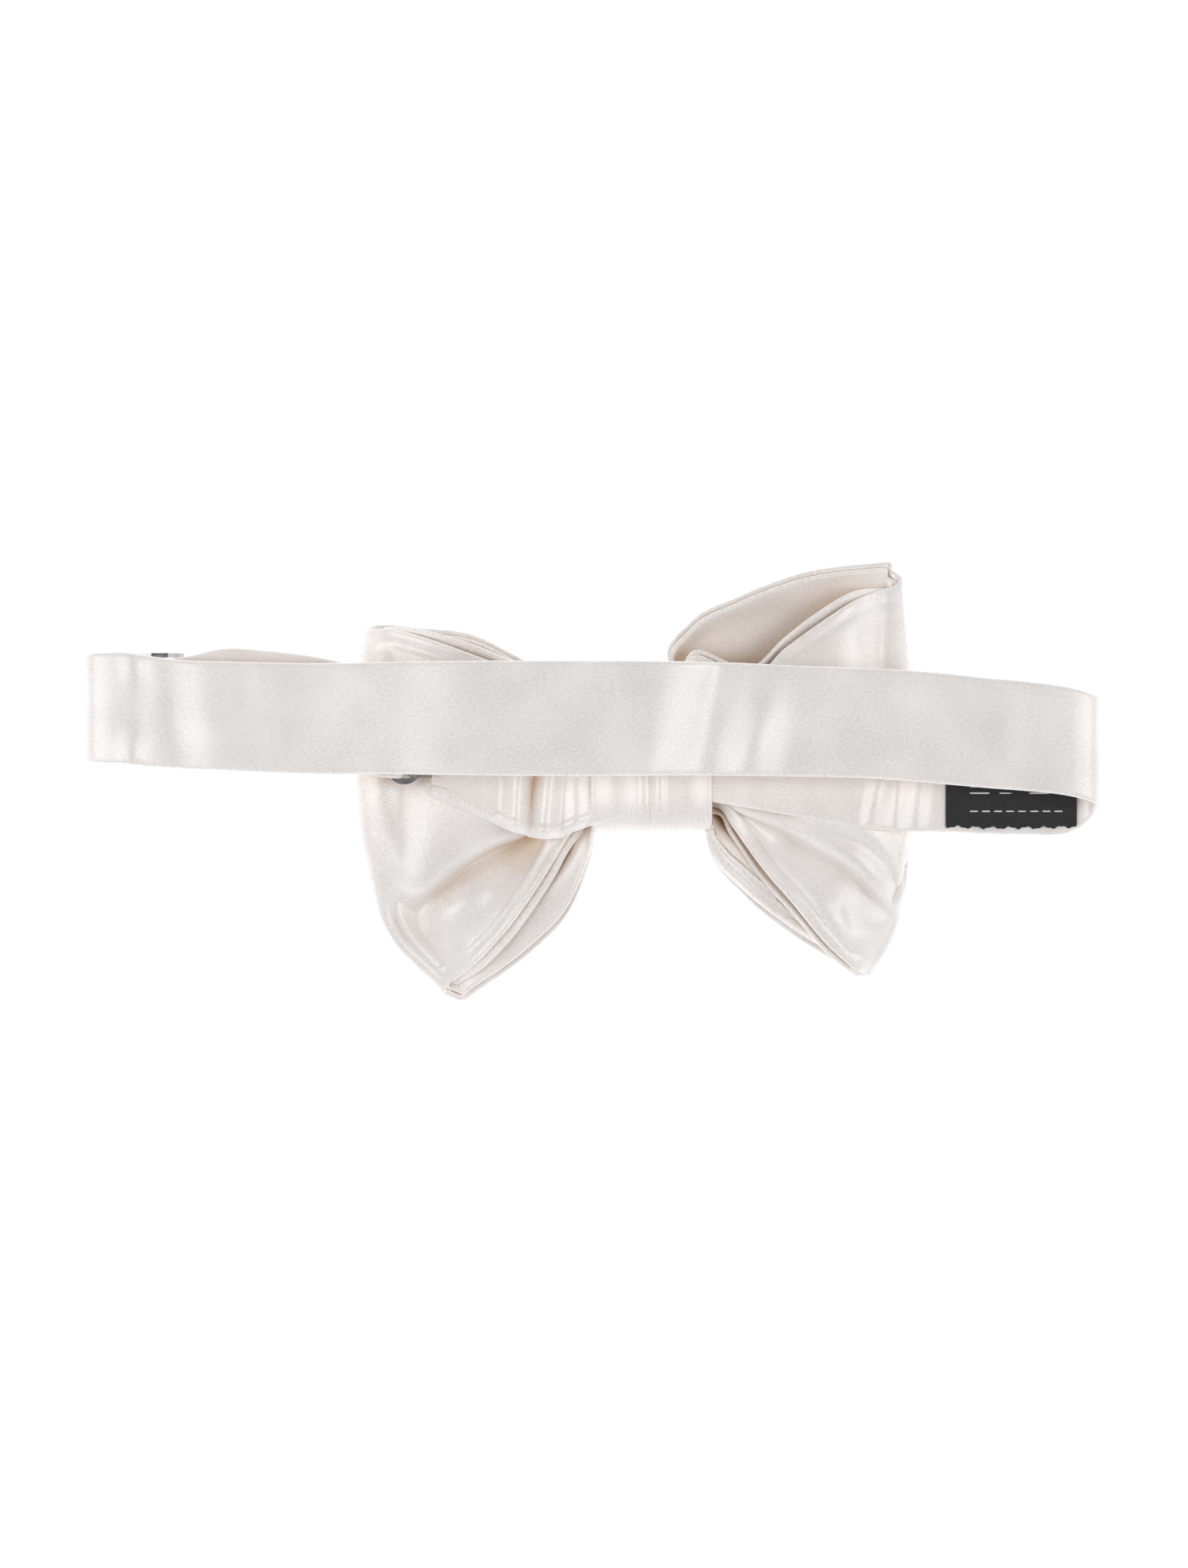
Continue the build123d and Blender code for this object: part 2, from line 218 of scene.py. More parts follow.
def soft_noise(points, size, seed):
    """Smooth unevenness of about unit height, from a few random waves."""
    draw = np.random.default_rng(seed)
    total = np.zeros(points.shape[:-1])
    for _ in range(6):
        direction = unit(draw.normal(size=3)) * draw.uniform(0.6, 1.5) * 2 * math.pi / size
        total += np.sin(points @ direction + draw.uniform(0, 2 * math.pi))
    return total / 6


# ---- materials ----
# painted shade: the satin's colour is multiplied by these in folds and hollows, warmer and darker the deeper they
# are
PAINTED_FOLD_SHADE = (0.985, 0.90, 0.81)
PAINTED_DEEP_SHADE = (1.0, 0.80, 0.58)


def set_inputs(made, inputs):
    """Sets a node's inputs from keywords, in which _ stands for a space."""
    for key, value in inputs.items():
        made.inputs[key.replace("_", " ")].default_value = value


def new_material(name, **settings):
    material = bpy.data.materials.new(name)
    material.use_nodes = True
    tree = material.node_tree
    shader = tree.nodes["Principled BSDF"]
    set_inputs(shader, settings)
    return material, tree, shader


def node(tree, kind, **inputs):
    made = tree.nodes.new(kind)
    set_inputs(made, inputs)
    return made


def math_node(tree, operation, *sources):
    """A Math node whose inputs are other sockets or plain numbers."""
    made = tree.nodes.new("ShaderNodeMath")
    made.operation = operation
    for socket, source in zip(made.inputs, sources):
        if isinstance(source, (int, float)):
            socket.default_value = source
        else:
            tree.links.new(source, socket)
    return made


def ramp(tree, source, stops):
    """A colour ramp from a factor, as (place, colour) stops."""
    made = tree.nodes.new("ShaderNodeValToRGB")
    elements = made.color_ramp.elements
    elements[0].position, elements[0].color = stops[0][0], (*stops[0][1], 1)
    elements[1].position, elements[1].color = stops[-1][0], (*stops[-1][1], 1)
    for place, colour in stops[1:-1]:
        elements.new(place).color = (*colour, 1)
    tree.links.new(source, made.inputs["Fac"])
    return made


def satin(name, light, shade, deepest_painted_shade):
    """Ivory satin: fine diagonal floats with slubs, soft gloss, and painted shade, a warmer, darker tone down in the
    folds and hollows wherever ambient occlusion finds them.
    """
    material, tree, shader = new_material(
        name, Roughness=0.37, IOR=1.65, Specular_IOR_Level=0.9,
        Sheen_Weight=0.15, Sheen_Roughness=0.35, Sheen_Tint=(1.0, 0.98, 0.96, 1),
    )
    link = tree.links.new
    place = tree.nodes.new("ShaderNodeTexCoord")
    turned = node(tree, "ShaderNodeMapping", Rotation=(0, 0, math.radians(38)))
    link(place.outputs["UV"], turned.inputs["Vector"])
    floats = node(tree, "ShaderNodeTexWave", Scale=9.0, Distortion=1.2, Detail=2.0, Detail_Scale=3.0)
    link(turned.outputs["Vector"], floats.inputs["Vector"])
    along = node(tree, "ShaderNodeMapping", Scale=(0.7, 1.2, 1.0))
    link(place.outputs["UV"], along.inputs["Vector"])
    yarn = node(tree, "ShaderNodeTexNoise", Scale=18.0, Detail=4.0, Roughness=0.8)
    link(along.outputs["Vector"], yarn.inputs["Vector"])
    cloud = node(tree, "ShaderNodeTexNoise", Scale=0.9, Detail=1.0, Roughness=0.4)
    link(place.outputs["UV"], cloud.inputs["Vector"])
    weave = math_node(tree, "MULTIPLY_ADD", floats.outputs["Fac"], 0.25, yarn.outputs["Fac"])
    tone = math_node(tree, "MULTIPLY_ADD", cloud.outputs["Fac"], 0.35, weave.outputs[0])
    colour = ramp(tree, tone.outputs[0], [(0.55, shade), (0.95, light)])
    # painted shade: ambient occlusion darkens and warms the base colour down in folds and hollows
    occlusion = node(tree, "ShaderNodeAmbientOcclusion", Distance=0.014)
    occlusion.samples = 8
    painted_shade = ramp(tree, occlusion.outputs["AO"], [(0.12, deepest_painted_shade), (0.36, PAINTED_FOLD_SHADE), (0.60, (1.0, 1.0, 1.0))])
    with_painted_shade = tree.nodes.new("ShaderNodeMix")
    with_painted_shade.data_type = "RGBA"
    with_painted_shade.blend_type = "MULTIPLY"
    with_painted_shade.inputs["Factor"].default_value = 1.0
    link(colour.outputs["Color"], with_painted_shade.inputs["A"])
    link(painted_shade.outputs["Color"], with_painted_shade.inputs["B"])
    link(with_painted_shade.outputs["Result"], shader.inputs["Base Color"])
    bump = node(tree, "ShaderNodeBump", Strength=0.12, Distance=0.0001)
    link(weave.outputs[0], bump.inputs["Height"])
    link(bump.outputs["Normal"], shader.inputs["Normal"])
    return material


def metal_finish():
    """Polished nickel with fine handling scratches."""
    material, tree, shader = new_material("polished_nickel", Metallic=1.0)
    link = tree.links.new
    place = tree.nodes.new("ShaderNodeTexCoord")
    stretch = node(tree, "ShaderNodeMapping", Scale=(900, 120, 900))
    link(place.outputs["Object"], stretch.inputs["Vector"])
    scratch = node(tree, "ShaderNodeTexNoise", Scale=1.0, Detail=4.0, Roughness=0.7)
    link(stretch.outputs["Vector"], scratch.inputs["Vector"])
    colour = ramp(tree, scratch.outputs["Fac"], [(0.3, (0.50, 0.50, 0.52)), (0.7, (0.72, 0.72, 0.74))])
    link(colour.outputs["Color"], shader.inputs["Base Color"])
    rough = ramp(tree, scratch.outputs["Fac"], [(0.3, (0.14, 0.14, 0.14)), (0.8, (0.3, 0.3, 0.3))])
    link(rough.outputs["Color"], shader.inputs["Roughness"])
    bump = node(tree, "ShaderNodeBump", Strength=0.15, Distance=0.00005)
    link(scratch.outputs["Fac"], bump.inputs["Height"])
    link(bump.outputs["Normal"], shader.inputs["Normal"])
    return material


def label_finish():
    """Black woven ribbon: fine ribs across, with worn yarns a little paler."""
    material, tree, shader = new_material("label_weave", Roughness=0.7, Sheen_Weight=0.15)
    link = tree.links.new
    place = tree.nodes.new("ShaderNodeTexCoord")
    ribs = node(tree, "ShaderNodeTexWave", Scale=12.0, Distortion=0.6)
    link(place.outputs["UV"], ribs.inputs["Vector"])
    yarn = node(tree, "ShaderNodeTexNoise", Scale=50.0, Detail=3.0)
    link(place.outputs["UV"], yarn.inputs["Vector"])
    mixed = math_node(tree, "MULTIPLY", ribs.outputs["Fac"], yarn.outputs["Fac"])
    colour = ramp(tree, mixed.outputs[0], [(0.1, (0.004, 0.004, 0.005)), (0.6, (0.03, 0.03, 0.033))])
    link(colour.outputs["Color"], shader.inputs["Base Color"])
    bump = node(tree, "ShaderNodeBump", Strength=0.4, Distance=0.0001)
    link(mixed.outputs[0], bump.inputs["Height"])
    link(bump.outputs["Normal"], shader.inputs["Normal"])
    return material


def thread_finish(name, colour_low, colour_high):
    """Twisted sewing thread."""
    material, tree, shader = new_material(name, Roughness=0.55, Sheen_Weight=0.2)
    link = tree.links.new
    place = tree.nodes.new("ShaderNodeTexCoord")
    turned = node(tree, "ShaderNodeMapping", Rotation=(0, 0, math.radians(35)))
    link(place.outputs["Object"], turned.inputs["Vector"])
    twist = node(tree, "ShaderNodeTexWave", Scale=900.0)
    link(turned.outputs["Vector"], twist.inputs["Vector"])
    colour = ramp(tree, twist.outputs["Fac"], [(0.2, colour_low), (0.8, colour_high)])
    link(colour.outputs["Color"], shader.inputs["Base Color"])
    bump = node(tree, "ShaderNodeBump", Strength=0.5, Distance=0.0001)
    link(twist.outputs["Fac"], bump.inputs["Height"])
    link(bump.outputs["Normal"], shader.inputs["Normal"])
    return material


silk = satin("ivory_satin", (0.988, 0.954, 0.936), (0.738, 0.692, 0.667), PAINTED_DEEP_SHADE)
metal = metal_finish()
label_cloth = label_finish()
ivory_thread = thread_finish("ivory_thread", (0.80, 0.78, 0.75), (0.90, 0.885, 0.86))
pale_print = thread_finish("pale_print_thread", (0.70, 0.70, 0.70), (0.85, 0.85, 0.85))
black_thread = thread_finish("black_thread", (0.01, 0.01, 0.01), (0.03, 0.03, 0.03))


# ---- bow wings ----
def fold_row(
    rim_low, ridge, rim_top, across, drop, run, swell, panel_start=0.45, crest_back=2.6, groove=0.0
):
    """One station of a wing's near layer, from its lower rim, across the pleat and its ridge, to its upper rim.

    across points from the ridge to the lower rim. The pleat falls by drop over run. The lower panel starts
    panel_start of the drop down and is raised by swell in its middle. The crest lies crest_back behind the
    ridge, and groove is how far it dips.
    """
    rim_low, ridge, rim_top = (np.array(p, float) for p in (rim_low, ridge, rim_top))
    across = unit(np.array([*across, 0.0]))
    up = np.array([0, 0, 1.0])
    edge = ridge + across * (0.6 + 0.2 * max(0, run)) - up * 0.14 * drop
    valley = ridge + across * run - up * drop
    widest_pleat = 8.4
    reach = min(widest_pleat, 0.5 * np.linalg.norm(rim_low[:2] - ridge[:2]))
    start = ridge + across * reach - up * drop * panel_start
    panel = (start + rim_low) / 2 + up * swell
    crest = ridge - across * crest_back + up * 0.1
    upper = crest + (rim_top - crest) * (0.08 if groove else 0.40) + up * 0.3
    higher = crest + (rim_top - crest) * 0.75 + up * 0.4
    return [rim_low, panel, start, valley, edge, crest - up * groove, upper, higher, rim_top]


def far_row(rim_low, rim_top, height, pleat):
    """One station of a far layer: nearly flat on the surface, with soft pleats near the knot."""
    rim_low, rim_top = np.array(rim_low, float), np.array(rim_top, float)
    row = []
    for k, share in enumerate((0, 0.16, 0.3, 0.42, 0.54, 0.66, 0.78, 0.9, 1.0)):
        point = rim_low + (rim_top - rim_low) * share
        if k > 1:
            point[2] += height * math.sin(math.pi * share) ** 0.7
        point[2] += pleat * (-1) ** k * (0 < k < 8)
        row.append(point)
    return row


def left_wing():
    near = [
        fold_row(
            rim_low=(7, -6, 11.5), ridge=(7, 0, 14.8), rim_top=(7, 17, 12),
            across=(0, -1), drop=2.0, run=0.3, swell=0.5,
        ),
        fold_row(
            rim_low=(-1.2, -7.6, 14.6), ridge=(-1.5, -3.0, 16.4), rim_top=(-1.5, 18, 14.5),
            across=(0.1, -1), drop=2.0, run=0.4, swell=0.3,
        ),
        fold_row(
            rim_low=(-5.0, -10.4, 14.8), ridge=(-8.5, -6.8, 17), rim_top=(-9, 20.6, 15.6),
            across=(0.35, -0.95), drop=5, run=1.0, swell=0.4,
        ),
        fold_row(
            rim_low=(-10.8, -19.8, 15.0), ridge=(-16.5, -10.0, 17.2), rim_top=(-18, 23.8, 16.4),
            across=(0.5, -0.86), drop=9.2, run=2.2, swell=0.2, panel_start=0.86,
        ),
        fold_row(
            rim_low=(-18.5, -31, 14.0), ridge=(-24.3, -13.0, 17.6), rim_top=(-27, 27.2, 17),
            across=(0.55, -0.84), drop=9.2, run=2.6, swell=0.5, panel_start=0.80,
        ),
        fold_row(
            rim_low=(-25.0, -38.2, 12.2), ridge=(-31.2, -16.8, 17.5), rim_top=(-36, 30.4, 16.0),
            across=(0.62, -0.78), drop=8.2, run=3.4, swell=0.2, panel_start=0.58, crest_back=2.2,
        ),
        fold_row(
            rim_low=(-29.6, -42.0, 8.8), ridge=(-37.4, -22.2, 16.6), rim_top=(-43, 32.3, 12.6),
            across=(0.70, -0.71), drop=7.4, run=3.2, swell=0.6, panel_start=0.62, crest_back=1.8,
        ),
    ]
    channel = [
        (-31.0, -42.6, 8.3), (-35.2, -37.6, 7.8), (-38.8, -34.0, 7.6), (-41.0, -30.2, 7.8),
        (-41.8, -26.6, 9.6), (-42.4, -21.8, 14.4), (-44.8, -10, 16.0), (-46.6, 8, 16.1), (-46.0, 32.4, 11.2),
    ]
    rim = [
        (-32.2, -44.2, 8.0), (-37.8, -38.8, 11.0), (-41.8, -34.6, 12.4), (-44.6, -30.0, 12.8),
        (-45.6, -26.2, 13.0), (-47.0, -21.6, 13.4), (-49.4, -10, 13.8), (-50.8, 8, 13.6), (-48.4, 32.4, 9.4),
    ]
    end = [
        (-31.8, -45.2, 7.1), (-38.6, -39.2, 8.2), (-42.8, -34.2, 8.6), (-45.4, -29.4, 8.8),
        (-46.8, -25.6, 8.9), (-48.0, -21.2, 8.9), (-50.6, -9, 9.0), (-51.7, 8, 9.0), (-49.4, 32.0, 7.4),
    ]
    under = [
        (-30.0, -46.2, 6.0), (-37.0, -39.8, 3.6), (-41.4, -34.6, 3.0), (-44.2, -29.6, 3.0),
        (-45.6, -26.0, 3.0), (-46.9, -21.6, 3.0), (-49.6, -9, 2.9), (-50.7, 8, 3.0), (-48.0, 32.9, 5.0),
    ]
    far = [
        far_row((-24.5, -44.2, 6.0), (-38.5, 32.8, 5.6), -3.6, 0.0),
        far_row((-14.0, -36.6, 7.6), (-26.0, 31.2, 7.6), -5.4, 0.0),
        far_row((-5.2, -27.4, 9.2), (-15.5, 26.0, 8.4), -6.0, 0.1),
        far_row((-1.0, -17.0, 11.4), (-7.0, 21.6, 8.6), -5.4, 0.2),
        far_row((0.8, -9.8, 13.0), (-0.8, 19.0, 8.6), -3.6, 0.3),
        far_row((7, -6.5, 6.6), (7, 16.5, 6.8), -1.0, 0.3),
    ]
    return near, [channel, rim, end, under], far


def right_wing():
    near = [
        fold_row(
            rim_low=(19, -6, 11.5), ridge=(19, 0, 14.8), rim_top=(19, 17, 12),
            across=(0, -1), drop=1.6, run=0.2, swell=0.4,
        ),
        fold_row(
            rim_low=(26.8, -4.8, 15.2), ridge=(26.6, -2.0, 16.4), rim_top=(22.0, 26.6, 15.5),
            across=(-0.1, -1), drop=0.6, run=0.3, swell=0.0,
        ),
        fold_row(
            rim_low=(30.4, -9.0, 15.0), ridge=(32.4, -5.0, 17.2), rim_top=(33.4, 22.0, 15.8),
            across=(-0.35, -0.94), drop=2.6, run=1.2, swell=0.0, panel_start=0.9, crest_back=2.2,
        ),
        fold_row(
            rim_low=(36.4, -17.4, 14.2), ridge=(40.8, -8.0, 17.6), rim_top=(41.5, 28.2, 16.8),
            across=(-0.42, -0.91), drop=5.0, run=2.2, swell=-0.5, panel_start=0.95, crest_back=2.2, groove=0.3,
        ),
        fold_row(
            rim_low=(43.6, -25.8, 14.0), ridge=(50.2, -12.6, 19.0), rim_top=(49.6, 34.0, 17.2),
            across=(-0.45, -0.89), drop=6.8, run=3.2, swell=0.2, panel_start=0.90, crest_back=2.2, groove=0.5,
        ),
        fold_row(
            rim_low=(50.6, -34.4, 13.0), ridge=(57.4, -16.8, 18.8), rim_top=(56.4, 38.4, 15.4),
            across=(-0.5, -0.86), drop=7.2, run=3.0, swell=1.2, panel_start=0.80, crest_back=3.0, groove=1.6,
        ),
        fold_row(
            rim_low=(55.8, -39.2, 11.0), ridge=(62.2, -22.0, 16.8), rim_top=(62.0, 40.8, 9.6),
            across=(-0.7, -0.7), drop=5.6, run=2.6, swell=0.5, panel_start=0.90, crest_back=3.0, groove=2.4,
        ),
    ]
    channel = [
        (57.6, -40.2, 9.8), (60.4, -34.6, 10.3), (62.6, -30.8, 10.2), (64.0, -27.8, 10.2),
        (64.8, -26.0, 11.2), (65.8, -23.6, 11.0), (66.4, -19.0, 13.8), (67.2, 12, 14.6), (64.8, 41.6, 8.6),
    ]
    rim = [
        (58.8, -40.8, 7.9), (62.2, -35.4, 8.7), (64.2, -31.2, 8.9), (65.7, -27.6, 9.8),
        (66.5, -24.0, 12.4), (67.4, -19.0, 12.8), (68.2, -8, 13.2), (69.2, 12, 13.0), (66.2, 42.5, 8.0),
    ]
    end = [
        (59.6, -41.2, 7.1), (63.2, -36.2, 8.0), (65.2, -31.8, 8.4), (66.4, -27.6, 8.6),
        (67.2, -24.2, 8.7), (68.0, -19.0, 8.8), (68.9, -8, 9.0), (70.0, 12, 9.0), (66.4, 43.8, 7.2),
    ]
    under = [
        (58.2, -41.2, 6.0), (62.2, -36.4, 3.4), (64.2, -31.8, 3.0), (65.4, -27.6, 3.0),
        (66.0, -24.2, 3.0), (66.9, -19.0, 3.0), (67.9, -8, 2.9), (69.0, 12, 3.0), (65.0, 45.2, 6.3),
    ]
    far = [
        far_row((52.6, -38.2, 5.4), (60.4, 46.7, 6.0), -4.0, 0.0),
        far_row((42.4, -31.8, 7.4), (46.0, 44.7, 8.6), -6.4, 0.0),
        far_row((33.0, -24.2, 9.0), (31.5, 39.4, 9.6), -7.2, 0.1),
        far_row((26.6, -16.8, 11.6), (21.4, 34.0, 9.8), -6.8, 0.2),
        far_row((24.8, -10.8, 13.2), (16.8, 27.6, 9.4), -5.6, 0.3),
        far_row((24.6, -8.6, 13.2), (23.0, 20.0, 7.6), -2.4, 0.3),
        far_row((19, -6.5, 6.6), (19, 16.5, 6.8), -1.0, 0.3),
    ]
    return near, [channel, rim, end, under], far


def relaxed(points, amount, passes):
    """Evens out a surface away from its edges, by as much as amount says at each point."""
    for _ in range(passes):
        around = (points[:-2, 2:-2] + points[2:, 2:-2] + points[1:-1, 1:-3] + points[1:-1, 3:-1]) / 4
        share = amount[1:-1, 2:-2, None]
        points[1:-1, 2:-2] += (around - points[1:-1, 2:-2]) * share
    return points


def outer_loop(parts):
    """The loop's middle surface, with a shallow channel just inside its near rims, where the plies are sewn."""
    near, end, far = parts
    points = surface(np.array([*near, *end, *far], float), 170, 140, crowding=0.4)
    crisp_reach = 24  # up to here from the knot's middle, pleats stay crisp
    softness = np.clip((distance_from_knot(points) - crisp_reach) / 14, 0.1, 0.6)
    points = relaxed(points, softness, passes=6)
    across = distance_from_rim(points)
    far_top = 9  # the channel fades in above this height, so the far layer has none
    near_side = np.clip((points[..., 2] - far_top) / 3, 0, 1)
    channel = 0.5 * wave(across, 2.6, 0.9) + 0.4 * wave(across[:, -1:] - across, 2.4, 0.9)
    lumps = 0.22 * soft_noise(points, 13, 3) + 0.08 * soft_noise(points, 5, 4)
    return points + normals(points) * (lumps - channel * near_side)[..., None]


def gathers(points):
    """Narrow pleats along the far layer's lower rim, fanning out from the knot."""
    across = distance_from_rim(points)
    downward = np.clip(-2 * normals(points)[..., 2], 0, 1)
    spread = np.clip((distance_from_knot(points) - knot_high[0] / 2) / 34, 0, 1)
    pitch = 1.3 + 0.9 * spread
    pleat = across / pitch
    pleats_shown = 2.6
    shown = 1 / (1 + np.exp((pleat - pleats_shown) * 3))
    fade = np.clip((1 - spread) * 4, 0, 1)
    ridges = 0.5 * np.cos(2 * math.pi * (pleat - 0.45)) + 0.4 * across / pitch
    return -ridges * shown * fade * downward


def inner_loop(parts, low_out, low_drop, top_out):
    """The loop inside the outer one: no pleat, and its rims past the near layer's but short of the far one's.

    low_out and top_out are how far its near rims pass the outer loop's. It lies low_drop below the lower one.
    """
    near, end, far = parts
    top_drop, sag = 1.5, 7.2  # below the near layer, at its upper rim and in the middle, clear of the pocket
    end_height = 8.6  # the loop's end is flatter than the outer one's, about this height
    net, margins = [], []
    last = len(near) - 1
    for k, row in enumerate(near):
        row = np.array(row, float)
        share = np.linspace(0, 1, len(row))
        out = min(1, min(k, last - k) / 2.5)
        drop = low_drop * (0.62 + 0.38 * out)
        flat = row[0] + (row[-1] - row[0]) * share[:, None]
        flat[:, 2] -= drop + (top_drop - drop) * share + sag * np.sin(math.pi * share) ** 0.7
        net.append(flat)
        bulge = math.sin(math.pi * (k / last) ** 1.4)
        margins.append((1.2 + (low_out - 1.2) * out, 0.6 + (top_out - 0.6) * bulge))
    for k, row in enumerate(end):
        row = np.array(row, float)
        inward = unit(np.array([knot_high[0] / 2, 3, 8]) - row)
        inward[:, 2] = 0
        row = row + inward * (1.1 + 1.5 * np.sin(math.pi * np.linspace(0, 1, len(row))))[:, None]
        row[:, 2] = end_height + (row[:, 2] - end_height) * 0.6
        net.append(row)
        margins.append((0.4 - 0.4 * k, 0.2 - 0.35 * k))
    for k, row in enumerate(far):
        row = np.array(row, float)
        row[:, 2] += 2.0 - 0.6 * k / (len(far) - 1)
        net.append(row)
        margins.append((-1.3, -1.2))
    net, margins = np.array(net), np.array(margins)
    outward_low = net[:, 0] - net[:, 1]
    outward_top = net[:, -1] - net[:, -2]
    outward_low[:, 2] = outward_top[:, 2] = 0
    net[:, 0] += unit(outward_low) * margins[:, :1]
    net[:, -1] += unit(outward_top) * margins[:, 1:]
    points = surface(net, 150, 120, crowding=0.6)
    return points + normals(points) * (0.15 * soft_noise(points, 9, 8) + gathers(points))[..., None]


def flatten_on_floor(points, least):
    """Keeps a surface at least this far above the floor."""
    points[..., 2] = np.maximum(points[..., 2], least)
    return points


wings = (("left", left_wing(), (2.6, 2.2, 2.4)), ("right", right_wing(), (2.6, 2.2, 3.0)))
for side, parts, inner_rims in wings:
    outer = flatten_on_floor(outer_loop(parts), PLY / 2 + 0.02)
    inner = flatten_on_floor(inner_loop(parts, *inner_rims), PLY + 0.9)
    for loop, points, thickness in (("outer", outer, PLY), ("inner", inner, INNER_PLY)):
        piece = cloth(f"{side}_wing_{loop}_loop", points, thickness, silk)
        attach(piece, "bow")
        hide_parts(f"bow_{loop}_loop", f"bow_{loop}_interlining")


# ---- knot ----
def knot():
    """The band round the waist: a soft rounded rectangle, its open edges drawn in a little."""
    middle_y = (knot_low[1] + knot_high[1]) / 2
    middle_z = (knot_low[2] + knot_high[2]) / 2
    inset = 0.7  # from the node's box to the sheet's middle
    half_y = (knot_high[1] - knot_low[1]) / 2 - inset
    half_z = (knot_high[2] - knot_low[2]) / 2 - inset
    turn = np.linspace(0, 2 * math.pi, 150, endpoint=False)[:, None]
    x = np.linspace(knot_low[0] + inset, knot_high[0] - inset, 56)[None, :]
    squareness = 0.42  # 1 is an ellipse, less is squarer
    cos, sin = np.cos(turn), np.sin(turn)
    y = middle_y + half_y * np.sign(cos) * np.abs(cos) ** squareness + 0 * x
    z = middle_z + half_z * np.sign(sin) * np.abs(sin) ** squareness + 0 * x
    share = (x - x.min()) / (x.max() - x.min())
    drawn_in = 0.9 * (wave(share, 0, 0.10) + wave(share, 1, 0.10))
    back = np.clip(sin, 0, 1) ** 0.5
    creases = ((14.4, 1.0, 0.9), (12.4, 0.9, -0.8), (9.4, 1.2, -0.7), (5.0, 2.6, 0.5), (20.0, 3.0, 0.35))
    ridge = sum(height * wave(x, centre, width) for centre, width, height in creases)
    front = np.clip(-sin, 0, 1) ** 0.5
    dimple = 0.9 * wave(x, 12.5, 3.0) * wave(y, middle_y + half_y * 0.4, half_y * 0.7)
    z = z + back * (ridge - drawn_in) + front * (drawn_in + dimple)
    y = y - np.sign(cos) * np.abs(cos) ** 2 * drawn_in * 0.5
    return np.stack([x + 0 * y, y, z], axis=-1)


knot_points = knot()
knot_piece = cloth("knot_wrap_cloth", knot_points[::-1], KNOT_PLY, silk, ring=True)
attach(knot_piece, "bow")
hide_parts("knot_wrap", "knot_interlining")


# ---- strap ----
def strap_rows(stations):
    """Rows of a strap from stations of (x, z, lower edge y, upper edge y)."""
    net = []
    for x, z, low, high in stations:
        share = np.linspace(0, 1, 5)
        net.append(np.stack([x + 0 * share, low + (high - low) * share, z + 0 * share], axis=-1))
    return net


over_knot = high_ply + 3.4
fold_flatness = 0.62  # 1 is a round fold, less is squarer
upper_slope = 11.0  # how far back from each end the strap's top begins to fall
strap_cols = 28


def end_fold(side, low_edges, high_edges, upwards=True):
    """Stations round an end fold, its edges going from those of the lower ply to those of the upper."""
    stations = []
    for angle in (-80, -66, -52, -35, -15, 0, 15, 35, 52, 66, 80):
        cosine, sine = math.cos(math.radians(angle)), math.sin(math.radians(angle))
        if angle > 0:
            slope = upper_slope
            share = 1 - (1 - math.sqrt(0.5)) * cosine ** (2 * fold_flatness)
        else:
            slope = fold_radius
            share = math.sin(math.radians(angle + 90) / 2)
        x = side * (fold_x + fold_radius - slope + slope * cosine**fold_flatness)
        z = fold_z + fold_radius * math.copysign(abs(sine) ** fold_flatness, angle)
        low = low_edges[0] + (low_edges[1] - low_edges[0]) * share
        high = high_edges[0] + (high_edges[1] - high_edges[0]) * share
        stations.append((x, z, low, high))
    return stations if upwards else stations[::-1]


def crinkled(points, creases, noise):
    """Pushes a strap's surface in and out along creases of (x, lean, width, height, low y, high y)."""
    normal = normals(points)
    x, y = points[..., 0], points[..., 1]
    push = noise * soft_noise(points, 16, 11)
    for centre, lean, width, height, low, high in creases:
        middle = (low + high) / 2
        reach = wave(y, middle, (high - low) / 2)
        push = push + height * wave(x - lean * (y - middle), centre, width) * reach
    return points + normal * push[..., None]


def right_strap():
    """From inside the knot, along the back of the right wing, round the label end, and across the top."""
    lower = [
        (13.2, low_ply, -1.6, 20.0), (22, low_ply, -3.0, 18.9), (32, low_ply, -4.6, 17.4), (42, low_ply, -6.4, 15.8),
        (50, low_ply, -7.8, 14.4), (62, low_ply, -9.6, 12.6), (77, low_ply, -10.1, 12.1), (92, low_ply, -10.6, 11.6),
        (fold_x, low_ply, -9.9, 12.3),
    ]
    upper = [
        (93, high_ply, -1.2, 20.8), (85, high_ply, -0.6, 21.5),
        (77, high_ply, 0.1, 22.4), (60, high_ply, 1.45, 23.6), (43, high_ply, 1.9, 24.2),
        (30, high_ply - 0.2, 2.05, 24.8), (24.5, high_ply, 2.1, 24.9), (20, high_ply + 1.9, 2.1, 25.0),
        (15.0, over_knot, 2.1, 25.1), (0, over_knot - 0.1, 2.0, 25.2),
    ]
    return lower + end_fold(1, (-9.8, -1.8), (11.6, 20.0)) + upper


def left_strap():
    """From the top of the loop, round the left fold, to just past the slide."""
    upper = [
        (-22.0, over_knot - 0.6, 2.1, 25.2), (-42, high_ply + 0.6, 2.4, 25.0), (-59, high_ply + 0.1, 2.4, 24.7),
        (-76, high_ply, 3.0, 25.0), (-88, high_ply, 3.6, 25.4), (-95, high_ply, 4.0, 26.2),
    ]
    lower = [(-fold_x, low_ply, 5.9, 25.9), (-98, low_ply, 6.1, 25.6), (-93.0, low_ply, 6.1, 25.6)]
    return upper + end_fold(-1, (5.7, 4.6), (26.2, 27.1), upwards=False) + lower


hook_bar_x = hook_low[0] + 1.0
return_ply = (return_high[2] + return_low[2]) / 2
slide_x = (slide_low[0] + slide_high[0]) / 2


